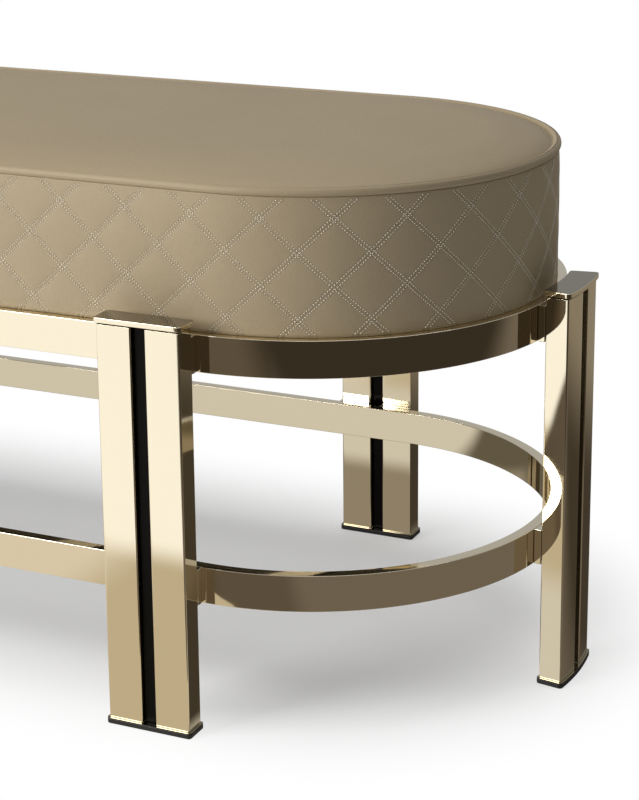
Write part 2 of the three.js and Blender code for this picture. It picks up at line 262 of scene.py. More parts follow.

# %% [markdown]
# The side band is sewn with double rows of stitches that cross as diamonds. The needle pulls a shallow
# channel along each row. Cutting the channels into the mesh would take millions of faces, so this group
# draws them as a mask from the band's own map, which counts diamonds round the seat (U) and rows of crossings
# downwards (V); the leather sinks them with a bump and darkens them with painted shade. From one row of
# crossings to the next, a line of stitches leans by half a diamond.

# %% Stitch channel group
DIAMONDS_AROUND = 48
QUILT_PHASE = -9.5 * MM
QUILT_TOP = 16 * MM
QUILT_STEP = 26.5 * MM
ROW_GAP = 1.45 * MM
ROW_WIDTH = 1.3 * MM
LEAN = 0.5
QUILT_PITCH = AROUND / DIAMONDS_AROUND
ACROSS_ROWS = QUILT_PITCH * QUILT_STEP / math.hypot(QUILT_STEP, QUILT_PITCH / 2)
stitch_channels, channel_in, channel_out = new_group(
    "stitch_channels",
    [("Vector", VECTOR, None), ("Row Gap", FLOAT, ROW_GAP), ("Row Width", FLOAT, ROW_WIDTH)],
    [("Mask", FLOAT)],
)
split = add_node(stitch_channels, "ShaderNodeSeparateXYZ", links={0: channel_in.outputs["Vector"]})
masks = []
for lean in (-LEAN, LEAN):
    leaned = math_node(stitch_channels, "MULTIPLY", split.outputs[1], lean)
    place = math_node(stitch_channels, "ADD", split.outputs[0], leaned)
    nearest = math_node(stitch_channels, "PINGPONG", place, 0.5)
    away = math_node(stitch_channels, "MULTIPLY", nearest, ACROSS_ROWS)
    past_row = math_node(stitch_channels, "SUBTRACT", away, channel_in.outputs["Row Gap"])
    from_row = math_node(stitch_channels, "ABSOLUTE", past_row)
    hit = add_node(stitch_channels, "ShaderNodeMapRange", {FROM_LOW: 0.0, TO_LOW: 1.0, TO_HIGH: 0.0},
                   {0: from_row, FROM_HIGH: channel_in.outputs["Row Width"]}, interpolation_type="SMOOTHSTEP")
    masks.append(hit.outputs[0])
stitch_channels.links.new(math_node(stitch_channels, "MAXIMUM", *masks), channel_out.inputs["Mask"])
print("diamonds", round(QUILT_PITCH / MM, 2), "mm wide,", round(ACROSS_ROWS / MM, 2), "mm between rows")


# %% [markdown]
# ## Finishes
# The metal is polished to a mirror with a pale champagne tint, so nearly all its look comes from what it
# reflects. One even roughness would look computed, so the wipe marks vary it. The leather is taupe with a
# fine pebble, and its pattern is worked out from the object's own coordinates, so no picture is wrapped on.

# %% Material helpers
def new_material(name, **values):
    material = bpy.data.materials.new(name)
    material.use_nodes = True
    shader = material.node_tree.nodes["Principled BSDF"]
    for key, value in values.items():
        shader.inputs[key.replace("_", " ")].default_value = value
    return material, material.node_tree, shader


def object_vector(tree):
    return tree.nodes.new("ShaderNodeTexCoord").outputs["Object"]


def use_group(tree, group, values=None, links=None):
    return add_node(tree, "ShaderNodeGroup", values, links, node_tree=group)


def bump_into(tree, shader, height, strength, distance):
    bump = add_node(tree, "ShaderNodeBump", {"Strength": strength, "Distance": distance}, {"Height": height})
    tree.links.new(bump.outputs[0], shader.inputs["Normal"])


def wiped(tree, shader, smooth, hazed):
    """Lets wipe marks vary a shader's roughness, and returns their group node."""
    marks = use_group(tree, wipe_marks, {"Smooth": smooth, "Hazed": hazed}, {"Vector": object_vector(tree)})
    tree.links.new(marks.outputs["Roughness"], shader.inputs["Roughness"])
    return marks


# %% Metal finishes
WAVE_DEPTH = 4 * MM


def metal_finish(name, tint, smooth, hazed, wave):
    material, tree, shader = new_material(name, Base_Color=(*tint, 1), Metallic=1.0)
    marks = wiped(tree, shader, smooth, hazed)
    bump_into(tree, shader, marks.outputs["Height"], wave, WAVE_DEPTH)
    return material


CHAMPAGNE = metal_finish("polished_champagne_metal", (0.90, 0.81, 0.62), smooth=0.02, hazed=0.07, wave=0.02)
PLAIN_STEEL = metal_finish("plain_steel", (0.55, 0.55, 0.54), smooth=0.28, hazed=0.42, wave=0.05)
print(CHAMPAGNE.name, PLAIN_STEEL.name)

# %% Dark finishes
# The dark lacquer is the strips' real finish, and on the tubes' necks under the caps it is painted shade.
DARK_LACQUER_AND_SHADE, lacquer_and_shade_tree, lacquer_and_shade_shader = new_material(
    "dark_lacquer", Base_Color=(0.004, 0.0035, 0.003, 1), Specular_IOR_Level=0.06)
wiped(lacquer_and_shade_tree, lacquer_and_shade_shader, smooth=0.22, hazed=0.36)

# The smoked metal is the champagne metal at about a third of its brightness: a darker finish on the feet, and
# on the cap tops partly painted shade.
SMOKED_AND_SHADED, smoked_and_shaded_tree, smoked_and_shaded_shader = new_material(
    "smoked_metal", Base_Color=(0.27, 0.24, 0.175, 1), Metallic=1.0)
wiped(smoked_and_shaded_tree, smoked_and_shaded_shader, smooth=0.03, hazed=0.09)

GLIDE, glide_tree, glide_shader = new_material("dark_glide", Base_Color=(0.012, 0.011, 0.010, 1))
glide_grain = noise(glide_tree, object_vector(glide_tree), scale=1500.0, detail=3.0)
glide_rough = ramp(glide_tree, glide_grain, low=0.3, high=0.7, to_low=0.45, to_high=0.65)
glide_tree.links.new(glide_rough, glide_shader.inputs["Roughness"])
bump_into(glide_tree, glide_shader, glide_grain, strength=0.25, distance=0.2 * MM)
print(DARK_LACQUER_AND_SHADE.name, SMOKED_AND_SHADED.name, GLIDE.name)

# %% Leather finishes
LEATHER_DEEP, LEATHER_PALE = (0.325, 0.256, 0.160, 1), (0.395, 0.315, 0.200, 1)
# The channel tint and its share are painted shade in the sunken stitch channels.
CHANNEL_SHADE_TINT = (0.16, 0.122, 0.075)
CHANNEL_SHADE_SHARE = 0.35
GRAIN_ON_BAND = 0.35


def leather_finish(name, stitched):
    material, tree, shader = new_material(name, Specular_IOR_Level=0.25)
    tints = {"Deep": LEATHER_DEEP, "Pale": LEATHER_PALE}
    grain = use_group(tree, leather_grain, tints, {"Vector": object_vector(tree)})
    tree.links.new(grain.outputs["Roughness"], shader.inputs["Roughness"])
    if not stitched:
        tree.links.new(grain.outputs["Color"], shader.inputs["Base Color"])
        bump_into(tree, shader, grain.outputs["Height"], strength=0.16, distance=0.4 * MM)
        return material
    quilt_map = add_node(tree, "ShaderNodeUVMap", uv_map="quilt")
    channel = use_group(tree, stitch_channels, links={"Vector": quilt_map.outputs[0]}).outputs["Mask"]
    # The channel mask darkens the leather's colour: painted shade in the sunken rows, besides the bump that
    # sinks them.
    channel_shade = math_node(tree, "MULTIPLY", channel, CHANNEL_SHADE_SHARE)
    tree.links.new(tint_mix(tree, channel_shade, grain.outputs["Color"], CHANNEL_SHADE_TINT), shader.inputs["Base Color"])
    grain_height = math_node(tree, "MULTIPLY", grain.outputs["Height"], GRAIN_ON_BAND)
    sunk = math_node(tree, "SUBTRACT", grain_height, channel)
    bump_into(tree, shader, sunk, strength=0.35, distance=0.6 * MM)
    return material


LEATHER = leather_finish("taupe_leather", False)
STITCHED_LEATHER = leather_finish("taupe_leather_sewn", True)
print(LEATHER.name, STITCHED_LEATHER.name)

# %% Thread and plywood
THREAD, thread_tree, thread_shader = new_material("cream_thread", Roughness=0.55, Sheen_Weight=0.2)
twist = noise(thread_tree, object_vector(thread_tree), scale=1800.0, detail=2.0)
thread_tone = tint_mix(thread_tree, twist, (0.68, 0.61, 0.46), (0.86, 0.80, 0.66))
thread_tree.links.new(thread_tone, thread_shader.inputs["Base Color"])
bump_into(thread_tree, thread_shader, twist, strength=0.3, distance=0.2 * MM)

PLYWOOD, ply_tree, ply_shader = new_material("stained_plywood", Roughness=0.7)
ply_place = stretched(ply_tree, object_vector(ply_tree), (2.0, 34.0, 34.0))
ply_grain = noise(ply_tree, ply_place, scale=3.0, detail=6.0, distortion=1.2)
ply_share = ramp(ply_tree, ply_grain, low=0.3, high=0.7, to_low=0.0, to_high=1.0)
ply_tone = tint_mix(ply_tree, ply_share, (0.014, 0.011, 0.008), (0.034, 0.027, 0.020))
ply_tree.links.new(ply_tone, ply_shader.inputs["Base Color"])
bump_into(ply_tree, ply_shader, ply_grain, strength=0.2, distance=0.5 * MM)
print(THREAD.name, PLYWOOD.name, "-", len(bpy.data.materials), "materials in all")


# %% [markdown]
# ## Turning shapes into pieces
# A piece is a plain mesh at the origin. It rides on the bench's single body and hides the CAD nodes it
# stands for. Weighted normals keep broad faces flat next to their rounded edges, which matters on a mirror:
# a bent normal there bends the whole reflection.

# %% Piece helpers
def link_object(name, mesh):
    thing = bpy.data.objects.new(name, mesh)
    bpy.context.scene.collection.objects.link(thing)
    return thing


def evaluated_mesh(thing):
    bpy.context.view_layer.update()
    graph = bpy.context.evaluated_depsgraph_get()
    return bpy.data.meshes.new_from_object(thing.evaluated_get(graph))


def settle(thing):
    """Replaces an object's mesh by what its modifiers make of it, and removes the modifiers."""
    made = evaluated_mesh(thing)
    thing.modifiers.clear()
    thing.data = made


def flatten_faces(thing):
    weighted = thing.modifiers.new("flat faces", "WEIGHTED_NORMAL")
    weighted.weight = 100
    settle(thing)


def hard_piece(name, points, faces, material):
    mesh = bpy.data.meshes.new(name)
    mesh.from_pydata([tuple(p) for p in points], [], faces)
    mesh.shade_smooth()
    mesh.materials.append(material)
    thing = link_object(name, mesh)
    flatten_faces(thing)
    return thing


def declare(thing, slot, *nodes):
    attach(thing, "root")
    if nodes:
        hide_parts(*nodes)
    return thing


# %% [markdown]
# ## Geometry Nodes on a path
# The two rings are flat bar bent round the plan, and the piping is a round cord sewn round the seam. Each
# could be lofted by hand, but both are one section carried along one path, so one tree makes them: the path
# comes in as a line of edges, and the section is a rectangle whose corners are rounded as far as its inputs
# say.

# %% Section tree
GEOMETRY = "NodeSocketGeometry"


def path_tree(name, sizes, counts=()):
    """A Geometry Nodes tree with named inputs for its sizes, its counts and its material."""
    tree = bpy.data.node_groups.new(name, "GeometryNodeTree")
    tree.interface.new_socket("Geometry", in_out="INPUT", socket_type=GEOMETRY)
    for kind, rows in ((FLOAT, sizes), ("NodeSocketInt", counts)):
        for label, value in rows:
            tree.interface.new_socket(label, in_out="INPUT", socket_type=kind).default_value = value
    tree.interface.new_socket("Material", in_out="INPUT", socket_type="NodeSocketMaterial")
    tree.interface.new_socket("Geometry", in_out="OUTPUT", socket_type=GEOMETRY)
    return tree, tree.nodes.new("NodeGroupInput").outputs, tree.nodes.new("NodeGroupOutput")


section_tree, path_in, path_out = path_tree(
    "section_on_path", [("Width", 10 * MM), ("Height", 30 * MM), ("Corner", 1 * MM)], [("Corner Steps", 3)])
as_curve = add_node(section_tree, "GeometryNodeMeshToCurve", links={"Mesh": path_in["Geometry"]})
section = add_node(section_tree, "GeometryNodeCurvePrimitiveQuadrilateral",
                   links={"Width": path_in["Width"], "Height": path_in["Height"]})
rounding = {"Curve": section.outputs[0], "Count": path_in["Corner Steps"], "Radius": path_in["Corner"]}
rounded = add_node(section_tree, "GeometryNodeFilletCurve", links=rounding, mode="POLY")
swept = add_node(section_tree, "GeometryNodeCurveToMesh",
                 links={"Curve": as_curve.outputs[0], "Profile Curve": rounded.outputs[0]})
plain = add_node(section_tree, "GeometryNodeRealizeInstances", links={0: swept.outputs[0]})
painted = add_node(section_tree, "GeometryNodeSetMaterial",
                   links={"Geometry": plain.outputs[0], "Material": path_in["Material"]})
section_tree.links.new(painted.outputs[0], path_out.inputs[0])
print(section_tree.name, len(section_tree.nodes), "nodes")


# %% Path helpers
MERGE_DISTANCE = 1e-6


def run_tree(name, mesh, tree, **values):
    """Runs a node tree on a mesh and keeps the result as a plain mesh object."""
    thing = link_object(name, mesh)
    modifier = thing.modifiers.new(tree.name, "NODES")
    modifier.node_group = tree
    for item in tree.interface.items_tree:
        key = item.name.replace(" ", "_")
        if item.in_out == "INPUT" and key in values:
            modifier[item.identifier] = values[key]
    settle(thing)
    return thing


def loop_mesh(name, points):
    count = len(points)
    mesh = bpy.data.meshes.new(name)
    mesh.from_pydata([tuple(p) for p in points], [(i, (i + 1) % count) for i in range(count)], [])
    return mesh


def facing_out(thing):
    """Recalculates a closed piece's normals so that all its faces point outwards."""
    work = bmesh.new()
    work.from_mesh(thing.data)
    bmesh.ops.remove_doubles(work, verts=work.verts, dist=MERGE_DISTANCE)
    bmesh.ops.recalc_face_normals(work, faces=work.faces)
    work.to_mesh(thing.data)
    work.free()
    thing.data.shade_smooth()


# %% Rings
PATH_STEPS = 480
BAR_CORNER = 0.45 * MM
path_lengths = np.arange(PATH_STEPS) * AROUND / PATH_STEPS
for ring in ("lower_ring", "upper_ring"):
    low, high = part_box(ring)
    corners = [vertex.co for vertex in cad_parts[ring].data.vertices]
    inner_radius = min(math.hypot(max(abs(p.x) - HALF_SPAN, 0), p.y) for p in corners)
    thickness = RING_RADIUS - inner_radius
    middle = on_plan(path_lengths, RING_RADIUS - thickness / 2, (low.z + high.z) / 2)
    bar = run_tree(f"{ring}_bar", loop_mesh(ring, middle), section_tree, Width=thickness,
                   Height=high.z - low.z, Corner=BAR_CORNER, Corner_Steps=3, Material=CHAMPAGNE)
    facing_out(bar)
    flatten_faces(bar)
    declare(bar, "polished_metal", ring)
    print(ring, round(thickness / MM, 2), "mm thick,", len(bar.data.polygons), "faces")

# %% [markdown]
# ## Legs
# A leg is two rectangular tubes with a dark strip set back between them, a cap plate on top over a thin neck
# coloured with the dark lacquer as painted shade, and a foot: a thin plate with a smoked top on a dark glide.
# The cap has polished edges and a smoked top too, which mirrors the leather faintly; that top is partly a
# darker finish and partly painted shade for a darker reflection. Spacers hold it off the rings. Bevelled boxes
# would do for the four straight legs, but the legs at the round ends bend with the ring. So every part is a
# rounded rectangle pulled upwards, drawn across the leg (u) and outwards from the ring (v), and at the ends
# each point is moved onto its own arc, so that the sides point at the middle.

# %% Leg plans
CORNER_STEPS = 5
EDGE_STEPS = 14
LEAST_RADIUS = 0.05 * MM
LEG_REACH = -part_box("front_right_leg_cap")[0].y - RING_RADIUS


def rounded_plan(u0, u1, v0, v1, radius, inset=0.0):
    """Points of a rounded rectangle, always in the same number, so that insets of it can be joined up."""
    r = max(radius - inset, LEAST_RADIUS)
    u0, u1, v0, v1 = u0 + inset, u1 - inset, v0 + inset, v1 - inset
    corners = [(u1 - r, v0 + r, -90), (u1 - r, v1 - r, 0), (u0 + r, v1 - r, 90), (u0 + r, v0 + r, 180)]
    long_edges = {1: (u1 - r, u0 + r, v1), 3: (u0 + r, u1 - r, v0)}
    points = []
    for i, (cu, cv, start) in enumerate(corners):
        for step in range(CORNER_STEPS + 1):
            angle = math.radians(start + 90 * step / CORNER_STEPS)
            points.append((cu + r * math.cos(angle), cv + r * math.sin(angle)))
        if i in long_edges:
            begin, end, v = long_edges[i]
            points += [(begin + (end - begin) * k / EDGE_STEPS, v) for k in range(1, EDGE_STEPS)]
    return points


def leg_frame(name):
    """How a leg's plan is laid into the bench: its origin on the ring, the way across, the way out, and
    whether it bends with the ring."""
    low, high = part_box(f"{name}_cap")
    middle = (low + high) / 2
    if name.endswith("end_leg"):
        side = 1 if middle.x > 0 else -1
        origin = Vector((side * (HALF_SPAN + RING_RADIUS), 0, 0))
        return origin, Vector((0, -side, 0)), Vector((side, 0, 0)), True
    side = 1 if middle.y > 0 else -1
    return Vector((middle.x, side * RING_RADIUS, 0)), Vector((side, 0, 0)), Vector((0, side, 0)), False


def laid(plan, z, spot):
    """A plan's points at a height in the bench, bent onto the ring's arc where the leg bends."""
    origin, across, out, bent = spot
    points = []
    for u, v in plan:
        if bent:
            turn = math.asin(u / (RING_RADIUS + LEG_REACH))
            u, v = (RING_RADIUS + v) * math.sin(turn), (RING_RADIUS + v) * math.cos(turn) - RING_RADIUS
        points.append(origin + across * u + out * v + Vector((0, 0, z)))
    return points


def rim(bottom, top, radius, steps=3):
    """(inset, height) pairs from the lower rim to the upper one, both rounded."""
    turn = [math.radians(90 * k / steps) for k in range(steps + 1)]
    lower = [(radius * (1 - math.sin(a)), bottom + radius * (1 - math.cos(a))) for a in turn]
    return lower + [(inset, bottom + top - z) for inset, z in reversed(lower)]


def rows_to_faces(count, width, closed):
    """Faces between rows of points: closed joins the last row to the first, open puts a lid on each end."""
    faces = []
    for i in range(count if closed else count - 1):
        a, b = i * width, ((i + 1) % count) * width
        faces += [(a + j, a + (j + 1) % width, b + (j + 1) % width, b + j) for j in range(width)]
    if not closed:
        faces.append(tuple(reversed(range(width))))
        faces.append(tuple(range((count - 1) * width, count * width)))
    return faces


print("legs reach", round(LEG_REACH / MM, 1), "mm out of the rings")


# %% Leg sizes
def leg_section(part):
    """A part's extent across, outwards and upwards, read from the front right leg."""
    low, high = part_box(f"front_right_leg_{part}")
    cap_low, cap_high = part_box("front_right_leg_cap")
    middle = (cap_low.x + cap_high.x) / 2
    return (middle - high.x, middle - low.x, -high.y - RING_RADIUS, -low.y - RING_RADIUS), low.z, high.z


LEGS = ["front_left_leg", "front_right_leg", "back_left_leg", "back_right_leg",
        "left_end_leg", "right_end_leg"]
TUBE_WALL, TUBE_CORNER, TUBE_RIM = 1.5 * MM, 1.1 * MM, 0.12 * MM
CAP_GAP, CAP_NECK = 1.3 * MM, 1.0 * MM
NECK_SHADE_EDGE = 0.02 * MM
PLATE_CORNER, PLATE_RIM = 3 * MM, 0.35 * MM
STRIP_CORNER, STRIP_RIM = 1.2 * MM, 0.3 * MM
FOOT_PLATE, FOOT_RIM, GLIDE_RIM = 0.6 * MM, 0.12 * MM, 0.9 * MM
SPACER_CORNER, SPACER_RIM = 0.6 * MM, 0.5 * MM
FACES_UP = 0.95
groove_half = leg_section("tube_b")[0][0]
print("groove between the tubes", round(2 * groove_half / MM, 2), "mm wide")


# %% Leg parts
def solid_part(name, spot, extent, bottom, top, corner, edge, material):
    levels = [laid(rounded_plan(*extent, corner, inset), z, spot) for inset, z in rim(bottom, top, edge)]
    points = [p for row in levels for p in row]
    return hard_piece(name, points, rows_to_faces(len(levels), len(levels[0]), False), material)


def second_material(thing, material, chosen):
    """Gives the faces for which chosen is true a second material."""
    thing.data.materials.append(material)
    for face in thing.data.polygons:
        face.material_index = int(chosen(face))


def tube_part(name, spot, extent, bottom, top, material):
    shoulder = top - CAP_GAP
    outer = rim(bottom, shoulder, TUBE_RIM, steps=2) + [(CAP_NECK, shoulder), (CAP_NECK, top)]
    bore = [(TUBE_WALL, top), (TUBE_WALL, bottom)]
    levels = [laid(rounded_plan(*extent, TUBE_CORNER, inset), z, spot) for inset, z in outer + bore]
    points = [p for row in levels for p in row]
    tube = hard_piece(name, points, rows_to_faces(len(levels), len(levels[0]), True), material)
    # The neck and the tube's top take the dark lacquer as painted shade under the cap.
    second_material(tube, DARK_LACQUER_AND_SHADE, lambda face: face.center.z > shoulder - NECK_SHADE_EDGE)
    return tube


# %% Build the legs
for leg in LEGS:
    spot = leg_frame(leg)
    for part in ("tube_a", "tube_b"):
        tube = tube_part(f"{leg}_{part}_polished", spot, *leg_section(part), CHAMPAGNE)
        declare(tube, "polished_metal", f"{leg}_{part}")
    strip = solid_part(f"{leg}_strip_lacquered", spot, *leg_section("strip"), STRIP_CORNER, STRIP_RIM, DARK_LACQUER_AND_SHADE)
    declare(strip, "dark_strip", f"{leg}_strip")
    cap = solid_part(f"{leg}_cap_plate", spot, *leg_section("cap"), PLATE_CORNER, PLATE_RIM, CHAMPAGNE)
    # The cap's top faces get the smoked metal: partly a darker finish, partly painted shade for a darker
    # reflection.
    second_material(cap, SMOKED_AND_SHADED, lambda face: face.normal.z > FACES_UP)
    declare(cap, "polished_metal", f"{leg}_cap")
    extent, bottom, top = leg_section("foot")
    middle = top - FOOT_PLATE
    plate = solid_part(f"{leg}_foot_plate", spot, extent, middle, top, PLATE_CORNER, FOOT_RIM, SMOKED_AND_SHADED)
    second_material(plate, GLIDE, lambda face: face.normal.z < FACES_UP)
    declare(plate, "dark_foot")
    glide = solid_part(f"{leg}_foot_glide", spot, extent, bottom, middle, PLATE_CORNER, GLIDE_RIM, GLIDE)
    declare(glide, "dark_foot", f"{leg}_foot")
    for level in ("lower", "upper"):
        (u0, u1, v0, v1), bottom, top = leg_section(f"{level}_spacer")
        for label, pad in (("a", (u0, -groove_half, v0, v1)), ("b", (groove_half, u1, v0, v1))):
            spacer = solid_part(f"{leg}_{level}_spacer_{label}", spot, pad, bottom, top,
                                SPACER_CORNER, SPACER_RIM, CHAMPAGNE)
            declare(spacer, "polished_metal", *([f"{leg}_{level}_spacer"] if label == "a" else []))
print(len(LEGS), "legs built")

# %% [markdown]
# ## The seat cushion
# The seat is foam on a board under tight leather: a crowned top panel, a sewn seam with piping, and an
# upright side band whose diamonds swell between the stitch lines. Separate panels would leave gaps at the
# seams, so it is one closed surface, made as rows of points that go round the plan, from the rebate for the
# board, up the band, into the seam and over the top.

# %% Cushion profile
SUPPLE = 10
COLUMNS = 2 * SUPPLE * DIAMONDS_AROUND
BAND_ROWS = 44
BAND_BULGE = 0.8 * MM
BAND_SET_BACK = 2.1 * MM
HEM_ROLL, HEM_LENGTH = 1.5 * MM, 4 * MM
band_base = SEAT_RADIUS - BAND_SET_BACK


def quilt_place(along, z):
    """Diamonds round the seat and rows of crossings downwards, as the CAD band counts them."""
    return (along - QUILT_PHASE) / QUILT_PITCH, (BAND_TOP - QUILT_TOP - z) / QUILT_STEP


def bulged(z):
    """The band before it is stuffed: its distance from the spine, with a slight bulge between its seams and a
    rolled hem where the leather turns under the board."""
    share = np.clip((z - SEAT_BOTTOM) / (BAND_TOP - SEAT_BOTTOM), 0, 1)
    hem = HEM_ROLL * np.exp(-np.maximum(z - SEAT_BOTTOM, 0) / HEM_LENGTH)
    return band_base + BAND_BULGE * np.sin(math.pi * share) ** 0.5 + hem


print("band set back to", round(band_base / MM, 2), "mm from the spine before it is stuffed")

# %% [markdown]
# The leather is cut flat and sewn down along the diamonds, and the foam behind it pushes the pieces between
# the seams outwards. Puffs drawn by a formula all look alike, and a cloth simulation does what the foam does:
# a coarse blank of the band is pinned along its seams and a blank of the top along its rim, pressure blows
# both up, and how far each point went is kept. Foam is firm, so the movement is capped softly. The fine
# surface and the stitches then read that movement.

# %% Cloth helper
CLOTH_STEPS = 20


def blown_up(name, points, faces, pinned, pressure):
    """Where the points of a pinned leather blank are after pressure has swelled it."""
    mesh = bpy.data.meshes.new(name)
    mesh.from_pydata(points.tolist(), [], faces)
    blank = link_object(name, mesh)
    blank.vertex_groups.new(name="sewn down").add(np.flatnonzero(pinned).tolist(), 1.0, "REPLACE")
    cloth = blank.modifiers.new("leather", "CLOTH")
    cloth.settings.quality = 6
    cloth.settings.mass = 0.15
    cloth.settings.tension_stiffness = cloth.settings.compression_stiffness = 8
    cloth.settings.shear_stiffness = 4
    cloth.settings.bending_stiffness = 0.2
    cloth.settings.use_pressure = True
    cloth.settings.uniform_pressure_force = pressure
    cloth.settings.effector_weights.gravity = 0
    cloth.settings.vertex_group_mass = "sewn down"
    cloth.collision_settings.use_collision = False
    for step in range(1, CLOTH_STEPS + 1):
        bpy.context.scene.frame_set(step)
    swelled = evaluated_mesh(blank)
    places = np.array([vertex.co[:] for vertex in swelled.vertices])
    bpy.context.scene.frame_set(1)
    bpy.data.objects.remove(blank)
    bpy.data.meshes.remove(swelled)
    return places


def firm(movement, cap):
    return cap * np.tanh(np.maximum(movement, 0) / cap)


def weights_between(t):
    """How much each of four neighbouring readings counts at a share t between the middle two."""
    return [(-t + 2 * t**2 - t**3) / 2, (2 - 5 * t**2 + 3 * t**3) / 2,
            (t + 4 * t**2 - 3 * t**3) / 2, (t**3 - t**2) / 2]


def smooth_reading(field, rows, columns, closed):
    """A field of numbers read smoothly between its rows and columns; closed columns run round and meet."""
    total = 0
    row, column = np.floor(rows).astype(int), np.floor(columns).astype(int)
    row_weights, column_weights = weights_between(rows - row), weights_between(columns - column)
    for i in range(4):
        at_row = np.clip(row + i - 1, 0, field.shape[0] - 1)
        for j in range(4):
            at = column + j - 1
            at = np.mod(at, field.shape[1]) if closed else np.clip(at, 0, field.shape[1] - 1)
            total = total + row_weights[i] * column_weights[j] * field[at_row, at]
    return total


def spread_of(movement):
    """The least, middle, ninetieth-percent and greatest movement in millimetres, for printing."""
    return (np.percentile(movement, [0, 50, 90, 100]) / MM).round(2)


# %% Swelled side band
BAND_PUFF = 1.7 * MM
BAND_PRESSURE = 40.0
ROWS_PER_STEP = SUPPLE // 2
first_row = -round(QUILT_TOP / QUILT_STEP * ROWS_PER_STEP)
last_row = int((BAND_TOP - QUILT_TOP - SEAT_BOTTOM) / QUILT_STEP * ROWS_PER_STEP)
row_steps = np.arange(first_row, last_row + 1)
blank_columns = np.arange(SUPPLE * DIAMONDS_AROUND)
blank_z = BAND_TOP - QUILT_TOP - row_steps * QUILT_STEP / ROWS_PER_STEP
blank_along = QUILT_PHASE + blank_columns * QUILT_PITCH / SUPPLE
flat_band = np.array([on_plan(blank_along, bulged(z), z) for z in blank_z])
on_seam = (blank_columns[None, :] - row_steps[:, None]) % SUPPLE == 0
on_seam |= (blank_columns[None, :] + row_steps[:, None]) % SUPPLE == 0
on_seam[[0, -1]] = True
count, width = flat_band.shape[:2]
band_faces = [tuple(reversed(face)) for face in rows_to_faces(count, width, False)[:-2]]
swelled_band = blown_up("band_blank", flat_band.reshape(-1, 3), band_faces, on_seam.ravel(), BAND_PRESSURE)
_, out_x, out_y = spine_and_out(blank_along)
moved = swelled_band.reshape(flat_band.shape) - flat_band
band_movement = moved[..., 0] * out_x + moved[..., 1] * out_y
band_swell = firm(band_movement, BAND_PUFF)
print("band blank", flat_band.shape, "moved", spread_of(band_movement), "mm")


def band_offset(along, z):
    """The finished band's distance from the spine."""
    u, v = quilt_place(along, z)
    column = np.mod(u * SUPPLE, len(blank_columns))
    rows, columns = np.broadcast_arrays(v * ROWS_PER_STEP - first_row, column)
    return bulged(z) + smooth_reading(band_swell, rows, columns, True)


# %% Swelled top panel
TOP_CELL = 10 * MM
TOP_PRESSURE = 3.0
EDGE_ROLL, ROLL_LENGTH = 4.8 * MM, 9 * MM
SWELL_START = 40 * MM
CROWN = panel_high.z - panel_low.z - EDGE_ROLL


def cells_across(half):
    reach = math.ceil(half / TOP_CELL)
    return np.arange(-reach, reach + 1) * TOP_CELL


top_x, top_y = cells_across(HALF_SPAN + SEAM_OFFSET), cells_across(SEAM_OFFSET)
mesh_x, mesh_y = np.meshgrid(top_x, top_y)
inside = np.hypot(np.maximum(np.abs(mesh_x) - HALF_SPAN, 0), mesh_y) < SEAM_OFFSET
surrounded = np.all([np.roll(inside, way, axis) for way in (1, -1) for axis in (0, 1)], axis=0)
rim_of_top = inside & ~surrounded
order = np.full(inside.shape, -1)
order[inside] = np.arange(inside.sum())
cell_corners = [order[:-1, :-1], order[:-1, 1:], order[1:, 1:], order[1:, :-1]]
cells_around = np.stack(cell_corners, -1).reshape(-1, 4)
top_faces = [tuple(cell) for cell in cells_around[(cells_around >= 0).all(1)].tolist()]
flat_top = np.stack([mesh_x[inside], mesh_y[inside], np.full(inside.sum(), panel_low.z)], -1)
swelled_top = blown_up("top_blank", flat_top, top_faces, rim_of_top[inside], TOP_PRESSURE)
top_movement = swelled_top[:, 2] - flat_top[:, 2]
top_swell = np.zeros(inside.shape)
top_swell[inside] = firm(top_movement, CROWN)
print("top blank", len(flat_top), "points, moved", spread_of(top_movement), "mm, cap", round(CROWN / MM, 2))


def crown_height(along, inward):
    """The top panel: a quick roll next to the seam, then the swell of the simulated blank."""
    place = on_plan(along, SEAM_OFFSET - inward, 0.0)
    row, column = (place[..., 1] - top_y[0]) / TOP_CELL, (place[..., 0] - top_x[0]) / TOP_CELL
    swell = smooth_reading(top_swell, row, column, False)
    roll = (panel_low.z + EDGE_ROLL - PIPING_Z) * (1 - math.exp(-inward / ROLL_LENGTH))
    return PIPING_Z + roll + swell * min(inward / SWELL_START, 1)


# %% Cushion surface
BOARD_PLAY, DECK_PLAY = 0.4 * MM, 0.3 * MM
DECK_RINGS = (4 * MM, 80 * MM, 160 * MM)
FOLD_WIDTH, FOLD_HEIGHT = 0.5 * MM, 0.6 * MM
BAND_START, BAND_END = 0.05 * MM, 0.8 * MM
CHANNEL = PIPING_RADIUS + 0.12 * MM
CHANNEL_ANGLES = np.radians(np.arange(-62, -281, -18))
CLOSE_ROWS, MIDDLE_ROWS, WIDE_ROWS = np.arange(0.4, 6, 0.8), np.arange(6, 20, 2), np.arange(20, 196, 8)
columns = QUILT_PHASE + np.arange(COLUMNS) * AROUND / COLUMNS
rebate = board_high.y + BOARD_PLAY
deck = board_high.z + DECK_PLAY
rows = [on_plan(columns, offset, deck) for offset in (*DECK_RINGS, rebate)]
rows.append(on_plan(columns, rebate, SEAT_BOTTOM + FOLD_HEIGHT))
rows.append(on_plan(columns, rebate + FOLD_WIDTH, SEAT_BOTTOM))
first_band_row = len(rows)
band_heights = np.linspace(SEAT_BOTTOM + BAND_START, BAND_TOP - BAND_END, BAND_ROWS)
rows += [on_plan(columns, band_offset(columns, z), z) for z in band_heights]
last_band_row = len(rows) - 1
for angle in CHANNEL_ANGLES:
    offset, z = PIPING_OFFSET + CHANNEL * math.cos(angle), PIPING_Z + CHANNEL * math.sin(angle)
    rows.append(on_plan(columns, offset, z))
